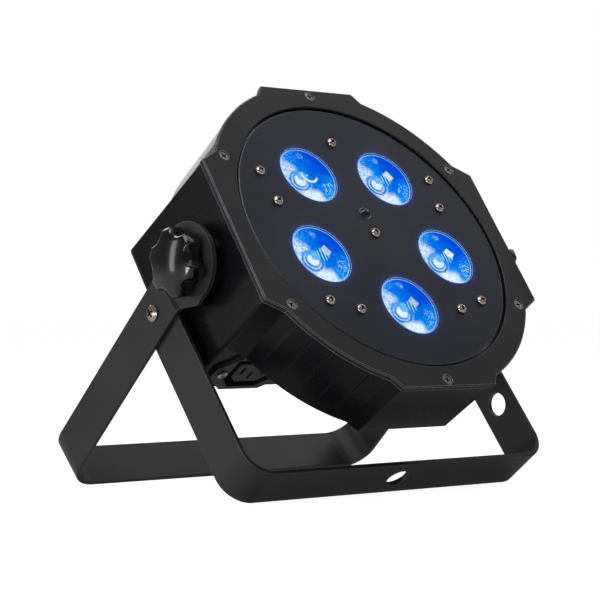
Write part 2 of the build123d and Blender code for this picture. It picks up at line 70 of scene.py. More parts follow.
DOME_RADIUS = 18.0
BLOTCH_SCALE = 18.0
CUP_AT = (-0.47, -0.25)  # the emitter cup's image, in lens radii from the middle
CHIP_AT = (0.14, 0.06)   # the emitter's own image and its turn
CHIP_TURN = 38
SHAKE_MEAN = 0.067       # how far the two shakes of the lens pattern move it on average

BLACK_PAINT = (0.0092, 0.0098, 0.0125)
PLATE_PAINT = (0.0072, 0.0084, 0.0135)
BRACKET_PAINT = (0.021, 0.021, 0.0228)
MOULDED_BLACK = (0.0055, 0.0056, 0.0068)
NICKEL = (0.98, 0.83, 0.77)
GLOW_DARK = (0.0, 0.09, 0.42)
GLOW_DEEP = (0.0, 0.070, 0.70)
GLOW_MID = (0.0, 0.30, 0.95)
GLOW_PALE = (0.30, 0.72, 1.0)
GLOW_WHITE = (0.80, 0.95, 1.0)

joints = {j["name"]: j for j in frame["joints"]}
pivot = Vector(joints["head_tilt"]["pos_m"])
out_of_face = Vector(joints["menu_button_1_press"]["axis"])
up_the_face = Vector(joints["dmx_latch_press"]["axis"])
across = Vector((1, 0, 0))
head_turn = Matrix((across, up_the_face, out_of_face)).transposed()


def head_point(x, y, depth):
    """A point given across and up the face and out along the head's axis, from the pivot."""
    return pivot + across * x + up_the_face * y + out_of_face * depth


def depth_of(node):
    """Lowest and highest place of a node along the head's axis."""
    along = [(v.co - pivot).dot(out_of_face) for v in frame["nodes"][node].data.vertices]
    return min(along), max(along)


# ---- node helpers -------------------------------------------------------------------------
def new_material(name):
    material = bpy.data.materials.new(name)
    material.use_nodes = True
    tree = material.node_tree
    tree.nodes.clear()
    out = tree.nodes.new("ShaderNodeOutputMaterial")
    shader = tree.nodes.new("ShaderNodeBsdfPrincipled")
    tree.links.new(shader.outputs["BSDF"], out.inputs["Surface"])
    return material, tree, shader, out


def add(tree, kind, **values):
    """A node with its properties and input defaults set by name."""
    node = tree.nodes.new(kind)
    for key, value in values.items():
        if key in node.inputs:
            node.inputs[key].default_value = value
        else:
            setattr(node, key, value)
    return node


def place(tree, scale=(1, 1, 1), turn=(0, 0, 0), shift=(0, 0, 0)):
    """Object coordinates, moved, turned and scaled."""
    where = tree.nodes.new("ShaderNodeTexCoord")
    mapping = tree.nodes.new("ShaderNodeMapping")
    mapping.inputs["Location"].default_value = shift
    mapping.inputs["Rotation"].default_value = turn
    mapping.inputs["Scale"].default_value = scale
    tree.links.new(where.outputs["Object"], mapping.inputs["Vector"])
    return mapping.outputs["Vector"]


def noise(tree, vector, scale, detail=3.0, rough=0.55):
    node = add(tree, "ShaderNodeTexNoise", Scale=scale, Detail=detail, Roughness=rough)
    tree.links.new(vector, node.inputs["Vector"])
    return node.outputs["Fac"]


def spread(tree, value, low, high, to_low, to_high):
    """value from low..high to to_low..to_high, clamped."""
    node = add(tree, "ShaderNodeMapRange")
    for key, number in (("From Min", low), ("From Max", high), ("To Min", to_low), ("To Max", to_high)):
        node.inputs[key].default_value = number
    tree.links.new(value, node.inputs["Value"])
    return node.outputs["Result"]


def maths(tree, operation, a, b=None):
    node = add(tree, "ShaderNodeMath", operation=operation)
    for socket, value in zip(node.inputs, (a, b)):
        if value is None:
            continue
        if isinstance(value, (int, float)):
            socket.default_value = value
        else:
            tree.links.new(value, socket)
    return node.outputs["Value"]


def blend_colours(tree, factor, a, b):
    node = tree.nodes.new("ShaderNodeMix")
    node.data_type = "RGBA"
    for socket, value in ((node.inputs[0], factor), (node.inputs[6], a), (node.inputs[7], b)):
        if isinstance(value, tuple):
            socket.default_value = (*value, 1)
        elif isinstance(value, (int, float)):
            socket.default_value = value
        else:
            tree.links.new(value, socket)
    return node.outputs[2]


def bump(tree, height, strength, distance, under=None):
    node = add(tree, "ShaderNodeBump", Strength=strength, Distance=distance)
    tree.links.new(height, node.inputs["Height"])
    if under is not None:
        tree.links.new(under, node.inputs["Normal"])
    return node.outputs["Normal"]


def edge_mask(tree, radius, low=0.03, high=0.35):
    """One on sharp outer edges and zero on flat faces."""
    soft = add(tree, "ShaderNodeBevel", samples=4, Radius=radius)
    plain = tree.nodes.new("ShaderNodeNewGeometry")
    dot = tree.nodes.new("ShaderNodeVectorMath")
    dot.operation = "DOT_PRODUCT"
    tree.links.new(soft.outputs["Normal"], dot.inputs[0])
    tree.links.new(plain.outputs["Normal"], dot.inputs[1])
    return spread(tree, maths(tree, "SUBTRACT", 1.0, dot.outputs["Value"]), low, high, 0.0, 1.0)


def grained(name, colour, rough, grain, depth, wear_and_highlight=0.35, worn_and_highlit=(0.05, 0.05, 0.052), coat=0.0,
            specular=0.5, edge=0.0007, bare=0.0, sharp=(0.03, 0.35), gloss=0.25):
    """Paint or moulded plastic: fine grain, faint blotches, dusty streaks, and edges lightened by rubbed wear and
    a painted edge highlight.

    grain and depth are the grain's scale and height. Edges are lightened over a width of edge to the worn
    colour, as far as the wear amount; this is partly rubbed wear and partly a painted highlight along the
    edges. Edges also turn metallic as far as bare. coat and gloss are its varnish.
    """
    material, tree, shader, _ = new_material(name)
    where = place(tree)
    blotch = noise(tree, where, BLOTCH_SCALE, 4.0)
    fine = noise(tree, where, grain, 2.0, 0.6)
    dust = noise(tree, where, grain * 0.22, 5.0, 0.7)
    pale = tuple(c * 1.45 + 0.0015 for c in colour)
    dusty = tuple(c * 2.4 + 0.004 for c in colour)
    base = blend_colours(tree, spread(tree, blotch, 0.35, 0.7, 0.0, 0.75), colour, pale)
    base = blend_colours(tree, spread(tree, dust, 0.60, 0.78, 0.0, 0.25), base, dusty)
    # Edge mask and its lighter colour: rubbed wear, and a painted highlight along the edges.
    rubbed_and_highlit = maths(tree, "MULTIPLY", edge_mask(tree, edge, *sharp), spread(tree, dust, 0.3, 0.55, 0.45, 1.0))
    base = blend_colours(tree, maths(tree, "MULTIPLY", rubbed_and_highlit, wear_and_highlight), base, worn_and_highlit)
    tree.links.new(base, shader.inputs["Base Color"])
    roughness = maths(tree, "ADD", spread(tree, blotch, 0.3, 0.7, rough - 0.05, rough + 0.06),
                      spread(tree, fine, 0.3, 0.7, -0.03, 0.03))
    if bare:
        tree.links.new(maths(tree, "MULTIPLY", rubbed_and_highlit, bare), shader.inputs["Metallic"])
        roughness = maths(tree, "SUBTRACT", roughness, maths(tree, "MULTIPLY", rubbed_and_highlit, 0.14))
    tree.links.new(roughness, shader.inputs["Roughness"])
    shader.inputs["Specular IOR Level"].default_value = specular
    shader.inputs["Coat Weight"].default_value = coat
    shader.inputs["Coat Roughness"].default_value = gloss
    normal = bump(tree, fine, 0.55, depth)
    tree.links.new(bump(tree, blotch, 0.12, depth * 4, normal), shader.inputs["Normal"])
    return material


def metal(name, colour, rough, grain=900.0, stretch=(1, 1, 1), dark=0.45, metallic=1.0, recess_shade_reach=0.0012):
    """Plated or bare metal with tool marks, tarnish, a painted highlight on its edges and painted shade in its
    recesses.
    """
    material, tree, shader, _ = new_material(name)
    where = place(tree, stretch)
    marks = noise(tree, where, grain, 3.0, 0.65)
    tarnish = noise(tree, place(tree), grain * 0.25, 4.0)
    deep = tuple(c * dark for c in colour)
    base = blend_colours(tree, spread(tree, tarnish, 0.35, 0.65, 0.0, 1.0), deep, colour)
    # Painted highlight: the colour is lightened along the edges.
    base = blend_colours(tree, maths(tree, "MULTIPLY", edge_mask(tree, 0.00025), 0.5), base,
                         tuple(min(1.0, c * 1.3 + 0.05) for c in colour))
    # Painted shade: the colour darkens to near black in recesses and close corners.
    recess_shade = add(tree, "ShaderNodeAmbientOcclusion", samples=6, Distance=recess_shade_reach)
    base = blend_colours(tree, spread(tree, recess_shade.outputs["AO"], 0.55, 0.86, 0.0, 1.0),
                         tuple(c * 0.04 for c in colour), base)
    tree.links.new(base, shader.inputs["Base Color"])
    tree.links.new(spread(tree, marks, 0.3, 0.7, rough - 0.07, rough + 0.1), shader.inputs["Roughness"])
    shader.inputs["Metallic"].default_value = metallic
    tree.links.new(bump(tree, marks, 0.25, 0.00004), shader.inputs["Normal"])
    return material


# ---- materials ----------------------------------------------------------------------------
GRAINED = {
    # The light edge colours of the bracket, bezel, plate, housing and knob are painted edge highlights as well as
    # rubbed wear.
    "bracket_powder_coat": dict(colour=BRACKET_PAINT, rough=0.40, grain=2600.0, depth=0.00006, wear_and_highlight=0.8,
                                worn_and_highlit=(0.40, 0.40, 0.41), bare=0.8, sharp=(0.015, 0.22)),
    "bezel_paint": dict(colour=BLACK_PAINT, rough=0.50, grain=2400.0, depth=0.00006, wear_and_highlight=0.95,
                        worn_and_highlit=(0.72, 0.72, 0.74), edge=0.0005, bare=0.9, sharp=(0.02, 0.12)),
    "plate_paint": dict(colour=PLATE_PAINT, rough=0.50, grain=2400.0, depth=0.00006, wear_and_highlight=0.95,
                        worn_and_highlit=(0.95, 0.95, 0.97), edge=0.0007, bare=0.9, sharp=(0.010, 0.10)),
    "housing_plastic": dict(colour=MOULDED_BLACK, rough=0.24, grain=1900.0, depth=0.00003, wear_and_highlight=0.6,
                            worn_and_highlit=(0.16, 0.16, 0.17), specular=0.27, bare=0.7),
    "cover_plastic": dict(colour=MOULDED_BLACK, rough=0.42, grain=1900.0, depth=0.00006, wear_and_highlight=0.3),
    "knob_plastic": dict(colour=(0.0015, 0.0015, 0.002), rough=0.15, grain=700.0, depth=0.000002, wear_and_highlight=0.5,
                         worn_and_highlit=(0.14, 0.14, 0.145), coat=0.7, edge=0.0005, gloss=0.07),
    "holder_plastic": dict(colour=(0.012, 0.012, 0.013), rough=0.45, grain=1500.0, depth=0.00003),
    "pad_fibre": dict(colour=(0.02, 0.019, 0.018), rough=0.8, grain=900.0, depth=0.0001, wear_and_highlight=0.1),
    "circuit_board": dict(colour=(0.012, 0.07, 0.03), rough=0.35, grain=700.0, depth=0.00002, wear_and_highlight=0.2,
                          worn_and_highlit=(0.3, 0.27, 0.15)),
    "led_board_white": dict(colour=(0.62, 0.62, 0.60), rough=0.4, grain=900.0, depth=0.00002, wear_and_highlight=0.1,
                            worn_and_highlit=(0.5, 0.48, 0.4)),
    "emitter_package": dict(colour=(0.45, 0.55, 0.75), rough=0.2, grain=900.0, depth=0.00001, wear_and_highlight=0.1),
    "connector_black": dict(colour=(0.007, 0.007, 0.008), rough=0.33, grain=1700.0, depth=0.00004, wear_and_highlight=0.3),
    "connector_grey": dict(colour=(0.028, 0.028, 0.031), rough=0.40, grain=1700.0, depth=0.00004, wear_and_highlight=0.3),
    "display_clear": dict(colour=(0.05, 0.004, 0.004), rough=0.12, grain=700.0, depth=0.000004, wear_and_highlight=0.1,
                          coat=0.6),
    "button_plastic": dict(colour=(0.05, 0.05, 0.055), rough=0.45, grain=1700.0, depth=0.00004, wear_and_highlight=0.4),
    "sensor_blue": dict(colour=(0.001, 0.003, 0.045), rough=0.05, grain=700.0, depth=0.000003, wear_and_highlight=0.1,
                        worn_and_highlit=(0.01, 0.02, 0.08), coat=1.0),
}
METALS = {
    "screw_nickel": dict(colour=NICKEL, rough=0.16, dark=0.62, metallic=0.78, recess_shade_reach=0.0018),
    "screw_dull_nickel": dict(colour=(0.36, 0.32, 0.30), rough=0.32, metallic=0.85, recess_shade_reach=0.0016),
    "screw_hinge_nickel": dict(colour=(0.60, 0.52, 0.49), rough=0.24, dark=0.5, metallic=0.80, recess_shade_reach=0.0020),
    "screw_black": dict(colour=(0.16, 0.16, 0.17), rough=0.30),
    "steel_zinc": dict(colour=(0.60, 0.60, 0.62), rough=0.30, stretch=(1, 8, 8)),
    "insert_brass": dict(colour=(0.80, 0.58, 0.28), rough=0.28),
    "heatsink_aluminium": dict(colour=(0.72, 0.73, 0.74), rough=0.36, grain=500.0, stretch=(1, 12, 1),
                               dark=0.75),
    "pin_nickel": dict(colour=(0.72, 0.70, 0.66), rough=0.16),
    "latch_metal": dict(colour=(0.50, 0.50, 0.51), rough=0.3),
}
MATERIALS = {name: grained(name, **recipe) for name, recipe in GRAINED.items()}
MATERIALS.update({name: metal(name, **recipe) for name, recipe in METALS.items()})
# These screws are duller than the rest of their slot.
DULLER = {
    "bezel_screws": "screw_dull_nickel",
    "left_hinge_screw": "screw_hinge_nickel",
    "right_hinge_screw": "screw_hinge_nickel",
}


def lens_centre(index):
    angle = LENS_FIRST + math.tau * index / LENS_COUNT
    return head_point(LENS_CIRCLE * math.cos(angle), LENS_CIRCLE * math.sin(angle), lens_top)


def add_halo(material):
    """Blue spill of the lenses on the paint round them, close and wide."""
    tree = material.node_tree
    shader = next(n for n in tree.nodes if n.type == "BSDF_PRINCIPLED")
    where = place(tree)
    nearest = None
    for index in range(LENS_COUNT):
        gap = add(tree, "ShaderNodeVectorMath", operation="DISTANCE")
        tree.links.new(where, gap.inputs[0])
        gap.inputs[1].default_value = lens_centre(index)
        this = gap.outputs["Value"]
        nearest = this if nearest is None else maths(tree, "MINIMUM", nearest, this)
    close = maths(tree, "POWER", spread(tree, nearest, LENS_RADIUS, LENS_RADIUS + HALO_CLOSE, 1.0, 0.0), 2.0)
    wide = maths(tree, "POWER", spread(tree, nearest, LENS_RADIUS, LENS_RADIUS + HALO_WIDE, 1.0, 0.0), 1.5)
    total = maths(tree, "ADD", maths(tree, "MULTIPLY", close, 0.15), maths(tree, "MULTIPLY", wide, 0.013))
    tree.links.new(total, shader.inputs["Emission Strength"])
    shader.inputs["Emission Color"].default_value = (0.0, 0.13, 1.0, 1)


_, lens_top = depth_of("lens_1")
add_halo(MATERIALS["plate_paint"])
slot_of = {s["node"]: s["material_slot"] for s in frame["record"]["subparts"]}
for name, node in frame["nodes"].items():
    material = MATERIALS.get(DULLER.get(name, slot_of[name]))
    if material is None:
        continue
    for slot in node.material_slots:
        slot.material = material
    if not node.material_slots:
        node.data.materials.append(material)

# ---- lenses -------------------------------------------------------------------------------
class LensDrawing:
    """Colours laid over each other on a lens face. Places are in lens radii from its middle."""

    def __init__(self, tree, seed):
        self.tree = tree
        per_radius = (1 / LENS_RADIUS,) * 3
        self.spot = place(tree, per_radius)
        self.own = place(tree, per_radius, shift=(3.1 * seed, 1.7 * seed, 0))
        split = tree.nodes.new("ShaderNodeSeparateXYZ")
        tree.links.new(self.shaken(self.shaken(self.spot, 3.2, 0.10), 11.0, 0.035), split.inputs[0])
        self.x = maths(tree, "SUBTRACT", split.outputs["X"], SHAKE_MEAN)
        self.y = maths(tree, "SUBTRACT", split.outputs["Y"], SHAKE_MEAN)
        self.radius = self.length_from(0, 0)
        reach = add(tree, "ShaderNodeVectorMath", operation="LENGTH")
        tree.links.new(self.spot, reach.inputs[0])
        self.true_radius = reach.outputs["Value"]
        pebbles = add(tree, "ShaderNodeTexVoronoi", Scale=15.0, Randomness=0.85)
        tree.links.new(self.own, pebbles.inputs["Vector"])
        self.pebbles = pebbles.outputs["Distance"]
        self.speckle = noise(tree, self.own, 15.0, 5.0, 0.8)
        self.cloud = noise(tree, self.own, 2.6, 3.0, 0.65)
        self.sharp = self.fade(self.speckle, 0.40, 0.58, 0.0, 1.0)
        self.colour = GLOW_DEEP

    def shaken(self, vector, scale, amount):
        """A place moved about a little by noise."""
        waver = add(self.tree, "ShaderNodeTexNoise", Scale=scale, Detail=2.0)
        self.tree.links.new(self.own, waver.inputs["Vector"])
        moved = add(self.tree, "ShaderNodeVectorMath", operation="MULTIPLY_ADD")
        self.tree.links.new(waver.outputs["Color"], moved.inputs[0])
        moved.inputs[1].default_value = (amount, amount, 0.0)
        self.tree.links.new(vector, moved.inputs[2])
        return moved.outputs["Vector"]

    def fade(self, value, low, high, to_low, to_high):
        """value from low..high to to_low..to_high, clamped."""
        return spread(self.tree, value, low, high, to_low, to_high)

    def product(self, *factors):
        """All the factors multiplied together."""
        total = factors[0]
        for factor in factors[1:]:
            total = maths(self.tree, "MULTIPLY", total, factor)
        return total

    def length_from(self, cx, cy):
        dx = maths(self.tree, "SUBTRACT", self.x, cx)
        dy = maths(self.tree, "SUBTRACT", self.y, cy)
        squares = maths(self.tree, "ADD", self.product(dx, dx), self.product(dy, dy))
        return maths(self.tree, "SQRT", squares)

    def along(self, angle, cx=0.0, cy=0.0):
        """How far a place lies in a direction from a centre."""
        angle = math.radians(angle)
        shift = cx * math.cos(angle) + cy * math.sin(angle)
        x_part = maths(self.tree, "MULTIPLY", self.x, math.cos(angle))
        y_part = maths(self.tree, "MULTIPLY", self.y, math.sin(angle))
        return maths(self.tree, "SUBTRACT", maths(self.tree, "ADD", x_part, y_part), shift)

    def sector(self, angle, half, soft, centre=(0.0, 0.0), reach=None):
        """One inside a wedge about an angle, falling to zero over soft degrees."""
        far = maths(self.tree, "MAXIMUM", self.radius if reach is None else reach, 0.05)
        way = maths(self.tree, "DIVIDE", self.along(angle, *centre), far)
        outer, inner = math.cos(math.radians(half + soft)), math.cos(math.radians(half))
        return self.fade(way, outer, inner, 0.0, 1.0)

    def ringed(self, reach, middle, half, soft):
        """One on a ring about the centre that reach is measured from."""
        off = maths(self.tree, "ABSOLUTE", maths(self.tree, "SUBTRACT", reach, middle))
        return self.fade(off, half, half + soft, 1.0, 0.0)

    def paint(self, tint, *factors):
        """Lays a colour over the drawing where the factors' product is high."""
        self.colour = blend_colours(self.tree, self.product(*factors), self.colour, tint)


def draw_field(lens):
    """Deep at the upper right, lighter to the left and along the lower right."""
    level = lens.fade(lens.along(20, 0.45, 0.2), -1.1, 0.25, 1.0, 0.0)
    for grain, amount in ((lens.cloud, 1.1), (lens.speckle, 0.7)):
        about_zero = maths(lens.tree, "SUBTRACT", grain, 0.5)
        level = maths(lens.tree, "ADD", level, maths(lens.tree, "MULTIPLY", about_zero, amount))
    lens.paint(GLOW_MID, lens.fade(level, 0.12, 1.1, 0.0, 1.0))
    lens.paint(GLOW_MID, lens.sector(-55, 35, 30), lens.fade(lens.radius, 0.35, 0.8, 0.0, 0.75))


def draw_pebbles(lens):
    """Small bright dots round the edge, and a pale patch near the top."""
    dots = lens.fade(lens.pebbles, 0.16, 0.40, 1.0, 0.0)
    band = lens.product(lens.fade(lens.radius, 0.50, 0.92, 0.0, 1.0), lens.sector(-135, 100, 60))
    lens.paint(GLOW_PALE, band, dots, 0.75)
    lens.paint(GLOW_WHITE, lens.sector(-38, 14, 10), lens.ringed(lens.radius, 0.72, 0.14, 0.08), dots)
    lens.paint(GLOW_PALE, lens.fade(lens.length_from(0.0, 0.74), 0.07, 0.14, 1.0, 0.0), lens.sharp, 0.7)


def draw_fans(lens):
    """Two white fans, to the left and at the bottom."""
    left = lens.product(lens.sector(172, 16, 22), lens.fade(lens.radius, 0.36, 0.55, 0.0, 1.0))
    lens.paint(GLOW_WHITE, left, lens.fade(lens.speckle, 0.42, 0.55, 0.12, 1.0))
    bottom = lens.product(lens.sector(-103, 18, 16), lens.fade(lens.radius, 0.50, 0.70, 0.0, 1.0))
    lens.paint(GLOW_WHITE, bottom, lens.fade(lens.speckle, 0.38, 0.50, 0.3, 1.0))


def draw_cup(lens):
    """Rings of the emitter's cup, off centre between the fans, with a crescent inside."""
    off = lens.length_from(*CUP_AT)
    low_side = lens.sector(-120, 70, 60, CUP_AT, off)
    open_side = lens.sector(-135, 95, 45, CUP_AT, off)
    patchy = lens.fade(lens.speckle, 0.36, 0.56, 0.35, 1.0)
    broken = lens.fade(lens.speckle, 0.36, 0.54, 0.9, 0.25)
    lens.paint(GLOW_MID, lens.fade(off, 0.34, 0.42, 0.8, 0.0))
    lens.paint(GLOW_WHITE, lens.ringed(off, 0.405, 0.012, 0.03), low_side, lens.sharp, 0.8)
    lens.paint(GLOW_DARK, lens.ringed(off, 0.335, 0.02, 0.03), broken, open_side)
    lens.paint(GLOW_WHITE, lens.ringed(off, 0.275, 0.012, 0.03), low_side, patchy, 0.8)
    lens.paint(GLOW_DARK, lens.ringed(off, 0.225, 0.012, 0.03), low_side, 0.7)
    crescent = lens.product(lens.fade(lens.length_from(-0.44, -0.24), 0.17, 0.23, 1.0, 0.0),
                            lens.fade(lens.length_from(-0.33, -0.08), 0.10, 0.18, 0.0, 1.0))
    lens.paint(GLOW_WHITE, crescent, lens.fade(lens.speckle, 0.38, 0.5, 0.5, 1.0))
    lens.paint(GLOW_PALE, lens.fade(lens.length_from(-0.28, -0.06), 0.12, 0.20, 1.0, 0.0), lens.sharp, 0.85)


def draw_chip(lens, glow):
    """The emitter's square image, on a dark field with its wires."""
    across_chip = maths(lens.tree, "ABSOLUTE", lens.along(CHIP_TURN, *CHIP_AT))
    up_chip = maths(lens.tree, "ABSOLUTE", lens.along(CHIP_TURN + 90, *CHIP_AT))
    shade = lens.product(lens.fade(across_chip, 0.27, 0.33, 1.0, 0.0),
                         lens.fade(up_chip, 0.17, 0.22, 1.0, 0.0))
    lens.paint(GLOW_DARK, shade, 0.55)
    wires = add(lens.tree, "ShaderNodeTexWave", Scale=2.6, Distortion=1.5, Detail=1.0)
    lens.tree.links.new(lens.own, wires.inputs["Vector"])
    lower = lens.product(shade, lens.fade(lens.along(CHIP_TURN, *CHIP_AT), -0.02, 0.05, 1.0, 0.0))
    lens.paint(GLOW_PALE, lower, lens.fade(wires.outputs["Fac"], 0.55, 0.7, 0.0, 0.9))
    across_square = maths(lens.tree, "ABSOLUTE", lens.along(CHIP_TURN, 0.21, 0.12))
    square = lens.product(lens.fade(across_square, 0.12, 0.155, 1.0, 0.0),
                          lens.fade(up_chip, 0.135, 0.17, 1.0, 0.0))
    lens.paint(GLOW_WHITE, square, lens.fade(lens.speckle, 0.34, 0.50, 0.30, 1.0), glow)


def draw_arc(lens):
    """The bright arc of the cup, with a spark beside it."""
    core = lens.length_from(0.02, 0.05)
    lower = lens.fade(lens.along(-105, 0.02, 0.05), 0.02, 0.16, 0.0, 1.0)
    lens.paint(GLOW_WHITE, lens.ringed(core, 0.30, 0.022, 0.025), lower)
    lens.paint(GLOW_WHITE, lens.fade(lens.length_from(-0.08, -0.03), 0.02, 0.05, 1.0, 0.0), 0.8)


def draw_rim(lens):
    brighter_right = lens.fade(lens.along(35), -0.5, 0.8, 0.45, 1.0)
    lens.paint(GLOW_PALE, lens.fade(lens.true_radius, 0.945, 0.965, 0.0, 1.0), brighter_right)
    lens.paint(GLOW_DEEP, lens.ringed(lens.true_radius, 0.915, 0.008, 0.02), lens.sector(35, 55, 40), 0.6)


def lens_material(name, seed, chip_glow):
    """Lit collimator with the images that its emitter and cup throw on the face."""
    material, tree, shader, _ = new_material(name)
    lens = LensDrawing(tree, seed)
    draw_field(lens)
    draw_pebbles(lens)
    draw_fans(lens)
    draw_cup(lens)
    if chip_glow:
        draw_chip(lens, chip_glow)
    else:
        draw_arc(lens)
    draw_rim(lens)
    shader.inputs["Base Color"].default_value = (0.0, 0.0, 0.004, 1)
    tree.links.new(lens.colour, shader.inputs["Emission Color"])
    shader.inputs["Emission Strength"].default_value = 1.0
    shader.inputs["Roughness"].default_value = 0.06
    shader.inputs["Specular IOR Level"].default_value = 0.0
    tree.links.new(bump(tree, lens.pebbles, 0.10, 0.0003), shader.inputs["Normal"])
    return material


# ---- mesh helpers -------------------------------------------------------------------------
def ring_faces(first, rows, steps, turned_over=False):
    """Four-sided faces between rows of points that go round in rings."""
    faces = []
    for row in range(rows - 1):
        low, high = first + row * steps, first + (row + 1) * steps
        for step in range(steps):
            after = (step + 1) % steps
            a, b, c, d = low + step, low + after, high + after, high + step
            faces.append((a, d, c, b) if turned_over else (a, b, c, d))
    return faces


def smooth_piece(name, points, faces, face_out=True):
    """A smooth-shaded object; face_out turns a closed mesh's faces outwards."""
    mesh = bpy.data.meshes.new(name)
    mesh.from_pydata([tuple(point) for point in points], [], faces)
    if face_out:
        maker = bmesh.new()
        maker.from_mesh(mesh)
        bmesh.ops.recalc_face_normals(maker, faces=maker.faces)
        maker.to_mesh(mesh)
        maker.free()
    mesh.update()
    for face in mesh.polygons:
        face.use_smooth = True
    piece = bpy.data.objects.new(name, mesh)
    bpy.context.collection.objects.link(piece)
    return piece


def turned(name, profile, centre, turn, steps=96):
    """A surface of revolution about the head's axis, its profile (radius, depth) from the front back."""
    points = []
    for radius, depth in profile:
        for step in range(steps):
            angle = math.tau * step / steps
            points.append((radius * math.cos(angle), radius * math.sin(angle), depth))
    faces = ring_faces(0, len(profile), steps, turned_over=True)
    piece = smooth_piece(name, points, faces, face_out=False)
    piece.matrix_world = Matrix.Translation(centre) @ turn.to_4x4()
    return piece


LENS_PINHOLE = 0.00005   # the face starts as a ring this small round its middle
# Crowned face, a groove just inside the raised rim, and a short skirt; (share of the radius, depth).
LENS_PROFILE = [(0.25, -0.00003), (0.5, -0.00012), (0.75, -0.0004), (0.90, -0.0007),
                (0.93, -0.0006), (0.955, -0.00035), (0.98, -0.00045), (0.995, -0.0009), (0.995, -0.0030)]
for index in range(LENS_COUNT):
    profile = [(LENS_PINHOLE, 0.0)] + [(LENS_RADIUS * share, depth) for share, depth in LENS_PROFILE]
    face = turned(f"lens_face_{index + 1}", profile, lens_centre(index), head_turn)
    face.data.materials.append(lens_material(f"lens_lit_{index + 1}", index, CHIP_GLOW[index]))
    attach(face, "head")
    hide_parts(f"lens_{index + 1}")

# ---- plate screws -------------------------------------------------------------------------
SCREW_TWIST = (40.0, 17.0)   # turns each recess by an angle of its own, from its place
RECESS_STAR = 0.30           # how far the recess's four arms stand out of its circle
SHANK_SHARE = 0.45
# From the recess's floor up its walls and over the dome to the seat; (share of the radius, share of
# the height, share of the cross shape).
SCREW_ROWS = [(0.002, -0.62, 0), (0.30, -0.62, 1), (0.42, -0.50, 1), (0.47, 0.94, 1), (0.50, 0.99, 1),
              (0.62, 0.93, 0.35), (0.76, 0.80, 0), (0.88, 0.62, 0), (0.96, 0.40, 0), (1.0, 0.16, 0),
              (0.99, 0.0, 0), (SHANK_SHARE, 0.0, 0)]


def screw_heads(name, spots, face, radius, height, foot):
    """Domed heads with a deep cross recess, one mesh, each on a short shank."""
    steps, points, faces = 64, [], []
    for x, y in spots:
        first = len(points)
        twist = SCREW_TWIST[0] * x + SCREW_TWIST[1] * y
        for reach, rise, crossed in SCREW_ROWS:
            for step in range(steps):
                angle = math.tau * step / steps
                share = reach * (1 + crossed * RECESS_STAR * math.cos(4 * (angle + twist)))
                out = radius * share
                points.append(head_point(x + out * math.cos(angle), y + out * math.sin(angle),
                                         face + height * rise))
        for step in range(steps):
            angle = math.tau * step / steps
            out = radius * SHANK_SHARE
            points.append(head_point(x + out * math.cos(angle), y + out * math.sin(angle), foot))
        faces += ring_faces(first, len(SCREW_ROWS) + 1, steps)
    return smooth_piece(name, points, faces)


def spots_of(node):
    """Middle across and up the face, and half width, of each of a node's separate heads."""
    maker = bmesh.new()
    maker.from_mesh(frame["nodes"][node].data)
    bmesh.ops.remove_doubles(maker, verts=maker.verts, dist=0.00001)
    left, found = set(maker.verts), []
    while left:
        seed = left.pop()
        island, reach = [seed], [seed]
        while reach:
            vert = reach.pop()
            for link in vert.link_edges:
                other = link.other_vert(vert)
                if other in left:
                    left.remove(other)
                    island.append(other)
                    reach.append(other)
        xs = [(v.co - pivot).dot(across) for v in island]
        ys = [(v.co - pivot).dot(up_the_face) for v in island]
        found.append(((min(xs) + max(xs)) / 2, (min(ys) + max(ys)) / 2, (max(xs) - min(xs)) / 2))
    maker.free()
    return sorted(found)


_, plate_top = depth_of("front_plate")
screw_foot, screw_top = depth_of("plate_screws")
places = spots_of("plate_screws")
heads = screw_heads("plate_screw_heads", [spot[:2] for spot in places], plate_top, places[0][2],
                    screw_top - plate_top, screw_foot)
heads.data.materials.append(MATERIALS["screw_nickel"])
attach(heads, "head")
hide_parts("plate_screws")

# ---- knobs --------------------------------------------------------------------------------
def knob_reach(angle):
    """Radius of the scalloped outline, its corners eased."""
    step = math.tau / KNOB_LOBES
    off = (angle - KNOB_FIRST + step / 2) % step - step / 2
    inside = KNOB_FLUTE ** 2 - (KNOB_FLUTE_AT * math.sin(off)) ** 2
    flute = KNOB_FLUTE_AT * math.cos(off) - math.sqrt(inside) if inside > 0 else 2 * KNOB_RADIUS
    near = max(KNOB_EASE - abs(flute - KNOB_RADIUS), 0.0) / KNOB_EASE
    return min(flute, KNOB_RADIUS) - near * near * KNOB_EASE / 4


def crowned_knob(name, side, back, front):
    """Hand knob with a domed face, built in rings from the middle of the face to its back."""
    steps, points = 216, []
    rows = [(share, 0.0, None) for share in (0.001, 0.15, 0.3, 0.45, 0.6, 0.72, 0.82, 0.90)]
    for turn in range(9):
        bend = turn * math.pi / 16
        rows.append((1.0, KNOB_LIP * (1 - math.sin(bend)), KNOB_LIP * (1 - math.cos(bend))))
    rows += [(1.0, 0.0, back + KNOB_BACK_EDGE[1]), (1.0, KNOB_BACK_EDGE[0], back), (0.001, 0.0, back)]
    for share, inset, drop in rows:
        for step in range(steps):
            angle = math.tau * step / steps
            edge = knob_reach(angle)
            reach = (edge - KNOB_LIP) * share if drop is None else edge * share - inset
            depth = drop
            if drop is None or drop < back:
                depth = front - KNOB_CROWN * (reach / KNOB_RADIUS) ** 2 - (drop or 0.0)
            points.append(pivot + across * (side * depth) + out_of_face * (-side * reach * math.cos(angle))
                          + up_the_face * (reach * math.sin(angle)))
    return smooth_piece(name, points, ring_faces(0, len(rows), steps))


